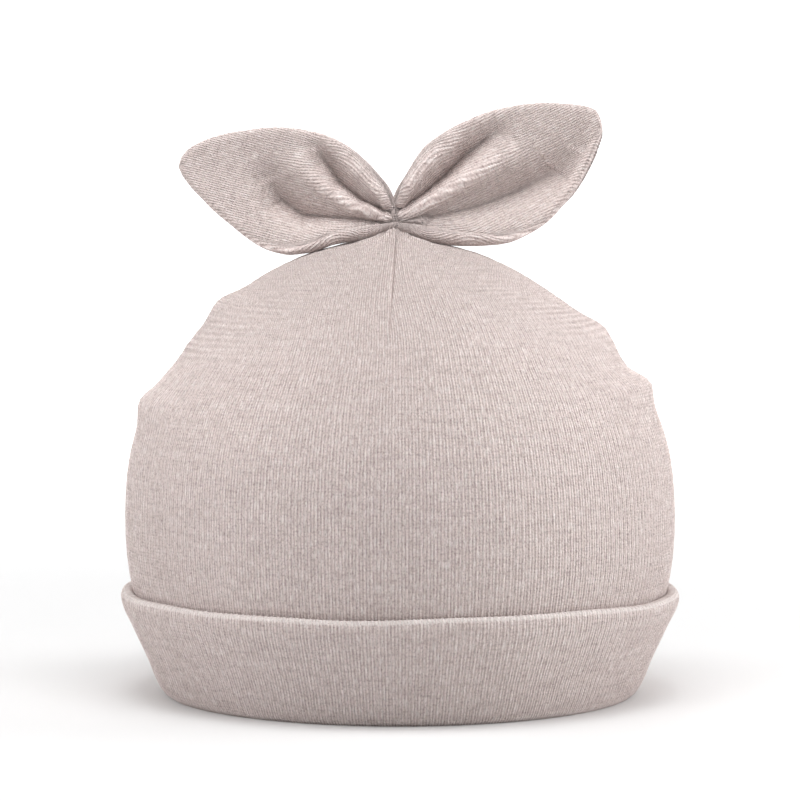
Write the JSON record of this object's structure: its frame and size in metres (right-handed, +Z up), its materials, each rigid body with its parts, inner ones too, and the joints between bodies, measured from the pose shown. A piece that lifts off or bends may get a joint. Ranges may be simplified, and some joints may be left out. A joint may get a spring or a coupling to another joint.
{
  "type": "baby hat with ears",
  "caption": "Single-layer rib-knit baby beanie with a domed crown, a turned-up cuff and two leaf-shaped ears pinched together on top.",
  "frame": {"origin": "middle of the rim, on the surface that the hat stands on (bottom centre of the bounding box)", "axes": "+Z up through the crown, -Y towards the front, +X to the right of someone who looks at the front"},
  "size_m": [0.1264, 0.1392, 0.1354],
  "materials": {
    "rib_knit": "matt heather 1x1 rib-knit cotton"
  },
  "bodies": {
    "root": {"crown": "rib_knit", "cuff": "rib_knit", "ear_left": "rib_knit", "ear_right": "rib_knit"}
  },
  "joints": []
}
